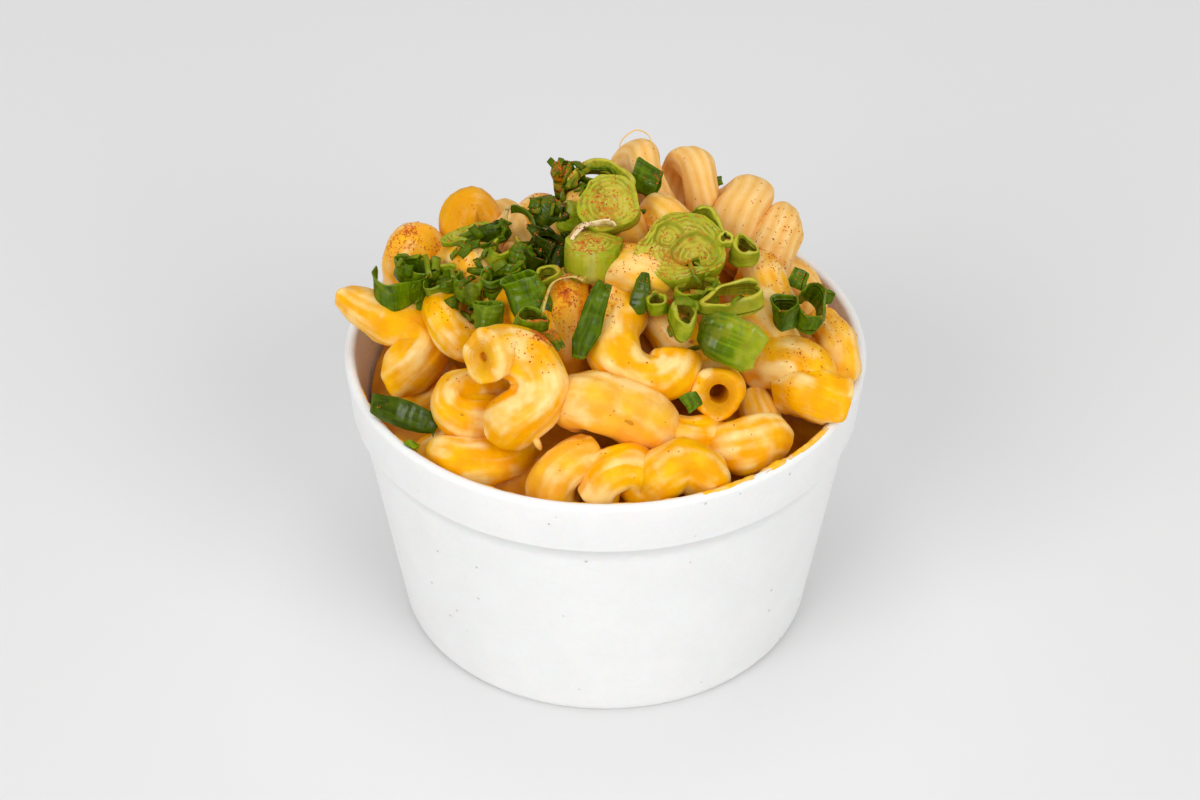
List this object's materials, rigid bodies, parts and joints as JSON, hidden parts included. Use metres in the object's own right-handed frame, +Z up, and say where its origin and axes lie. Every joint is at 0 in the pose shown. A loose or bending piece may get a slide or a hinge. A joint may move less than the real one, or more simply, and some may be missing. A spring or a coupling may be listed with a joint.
{
  "type": "mac and cheese in a foam cup",
  "caption": "White foam food cup heaped with corkscrew pasta in orange-yellow cheese sauce, topped with sliced scallions and a dusting of paprika.",
  "frame": {"origin": "centre of the cup's foot, on the surface it stands on", "axes": "+Z up along the cup's axis, -Y towards the side shown, +X to the right as seen from there"},
  "size_m": [0.0965, 0.095, 0.0898],
  "materials": {
    "foam": "white bead foam, fine pebbled, matt",
    "cheese_pasta": "pasta coated in glossy orange-yellow cheese sauce",
    "scallion_bulb": "pale green, wet cut face with rings",
    "scallion_stalk": "mid green, satin",
    "scallion_leaf": "dark green, satin"
  },
  "bodies": {
    "root": {"foam_cup": "foam", "pasta_heap": "cheese_pasta", "scallion_back_curl": "scallion_leaf", "scallion_bulb_chunk": "scallion_bulb", "scallion_bulb_slice": "scallion_bulb", "scallion_corner_ring": "scallion_leaf", "scallion_curl": "scallion_stalk", "scallion_curved_tube": "scallion_leaf", "scallion_dark_block": "scallion_leaf", "scallion_dark_fold": "scallion_leaf", "scallion_dark_patch": "scallion_leaf", "scallion_folded_leaf": "scallion_stalk", "scallion_leaf_strip": "scallion_leaf", "scallion_left_link": "scallion_leaf", "scallion_left_ring": "scallion_leaf", "scallion_left_stub": "scallion_leaf", "scallion_link_behind": "scallion_stalk", "scallion_long_ring": "scallion_stalk", "scallion_low_ring": "scallion_stalk", "scallion_pale_slice": "scallion_bulb", "scallion_rim_strip": "scallion_leaf", "scallion_small_dark": "scallion_leaf", "scallion_small_ring": "scallion_stalk", "scallion_stained_ring": "scallion_leaf", "scallion_stained_slice": "scallion_bulb", "scallion_top_curl": "scallion_stalk", "scallion_top_slice": "scallion_stalk", "scallion_twin_left": "scallion_leaf", "scallion_twin_right": "scallion_leaf", "scallion_under_ring": "scallion_stalk", "scallion_upright_leaf": "scallion_leaf", "scallion_wide_ring": "scallion_leaf"}
  },
  "joints": []
}
